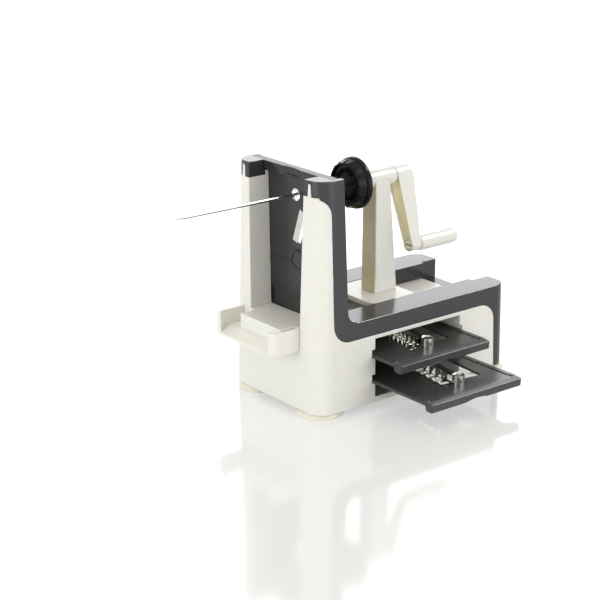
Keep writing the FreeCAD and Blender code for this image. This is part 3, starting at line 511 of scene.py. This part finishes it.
carriedNodes = {  # CAD nodes whose shape stays: finish
    "base_plate": "whitePlastic", "front_guide": "whitePlastic", "rear_guide": "whitePlastic",
    "working_blade": "bladeSteel", "tower_screws": "turnedSteel", "front_bush": "bushPlastic",
    "rear_bush": "bushPlastic", "drive_shaft": "turnedSteel", "skewer": "skewerSteel",
    "arm_screw": "turnedSteel", "upper_blade": "bladeSteel", "lower_blade": "bladeSteel",
}
for nodeName, finish in carriedNodes.items():
    node = nodes[nodeName]
    node.data.materials.clear()
    node.data.materials.append(materials[finish])
print("carried nodes finished:", len(carriedNodes))

studio = {"floorSize": 12.0, "floorColour": (0.37, 0.37, 0.368), "floorGlow": 0.47,
          "floorBounce": (0.84, 0.84, 0.835),  # the pale floor that throws light back
          "floorCloudScale": 3.0, "floorCloudShade": 0.995, "floorRoughness": 0.10,
          "worldStrength": 0.86, "worldTint": (1.0, 0.968, 0.88),
          "lampTint": (0.95, 0.98, 1.0), "aim": (0, 0, 0.1),
          "lamps": {  # place and size in metres, power in watts
              "keySoftbox": ((-3.1, -0.2, 0.7), 2.0, 40.0),
              "sideSoftbox": ((1.1, -3.0, 0.6), 2.0, 30.0),
              "topSoftbox": ((1.4, -0.72, 1.8), 1.1, 120.0),
              "rearSoftbox": ((2.0, 2.5, 1.05), 3.0, 50.0)},
          "edgeLamp": "topSoftbox"}  # it only draws the bright lines along rounded edges


def seenDirectly(tree):  # 1 for camera, mirror and glass rays, which all show the same white
    rays = tree.nodes.new("ShaderNodeLightPath")
    seen = rays.outputs["Is Camera Ray"]
    for name in ("Is Glossy Ray", "Is Transmission Ray"):
        either = tree.nodes.new("ShaderNodeMath")
        either.operation = "MAXIMUM"
        tree.links.new(seen, either.inputs[0])
        tree.links.new(rays.outputs[name], either.inputs[1])
        seen = either.outputs["Value"]
    return seen


def socketOf(sockets, identifier):  # a mix node has several sockets of the same name
    return next(socket for socket in sockets if socket.identifier == identifier)


def floorMaterial():  # the glow lightens the shadows that are seen, and throws no light itself
    material, tree, shader, place = newMaterial("studioFloor")
    cloud = noiseAt(tree, place, studio["floorCloudScale"], noiseDetail["cloud"])
    seen = seenDirectly(tree)
    paint = tree.nodes.new("ShaderNodeMix")
    paint.data_type = "RGBA"
    tree.links.new(seen, socketOf(paint.inputs, "Factor_Float"))
    for identifier, look in (("A_Color", "floorBounce"), ("B_Color", "floorColour")):
        colour = studio[look]
        shade = tuple(channel * studio["floorCloudShade"] for channel in colour)
        clouded = colourBetween(tree, cloud, colour, shade)
        tree.links.new(clouded, socketOf(paint.inputs, identifier))
    tree.links.new(socketOf(paint.outputs, "Result_Color"), shader.inputs["Base Color"])
    glow = valueBetween(tree, seen, (0, 1), 0.0, studio["floorGlow"])
    tree.links.new(glow, shader.inputs["Emission Strength"])
    shader.inputs["Roughness"].default_value = studio["floorRoughness"]
    shader.inputs["Emission Color"].default_value = (1, 1, 1, 1)
    return material


def makeFloor():
    bpy.ops.object.select_all(action="DESELECT")
    bpy.ops.mesh.primitive_plane_add(size=studio["floorSize"], location=(0, 0, cadBox[0].z))
    floor = bpy.context.object
    floor.name = "studioFloor"
    settle(floor)
    floor.data.materials.append(floorMaterial())


def makeWorld():
    world = bpy.data.worlds.new("studioWorld")
    bpy.context.scene.world = world
    world.use_nodes = True
    tree = world.node_tree
    background = tree.nodes["Background"]
    seen = seenDirectly(tree)
    strength = valueBetween(tree, seen, (0, 1), studio["worldStrength"], 1.0)
    colour = colourBetween(tree, seen, studio["worldTint"], (1, 1, 1))
    tree.links.new(strength, background.inputs["Strength"])
    tree.links.new(colour, background.inputs["Color"])


def turnTowards(thing, direction):
    thing.rotation_euler = Vector(direction).to_track_quat("-Z", "Y").to_euler()


def makeLamps():
    for name, (place, size, power) in studio["lamps"].items():
        lamp = bpy.data.lights.new(name, "AREA")
        lamp.size = size
        lamp.energy = power
        lamp.color = studio["lampTint"]
        box = bpy.data.objects.new(name, lamp)
        bpy.context.scene.collection.objects.link(box)
        box.location = place
        turnTowards(box, Vector(studio["aim"]) - Vector(place))
        box.visible_camera = False
        box.visible_diffuse = name != studio["edgeLamp"]


view = {"place": (-1.08352, -1.27179, 0.66674), "direction": (0.59090, 0.74166, -0.31748),
        "lens": 103.2, "sensor": 36.0}


def makeCamera():
    data = bpy.data.cameras.new("studioCamera")
    data.lens = view["lens"]
    data.sensor_width = view["sensor"]
    camera = bpy.data.objects.new("studioCamera", data)
    bpy.context.scene.collection.objects.link(camera)
    camera.location = view["place"]
    turnTowards(camera, view["direction"])
    bpy.context.scene.camera = camera


makeFloor()
makeWorld()
makeLamps()
makeCamera()
bpy.context.scene.view_settings.view_transform = "Standard"
print("floor, light and camera ready")
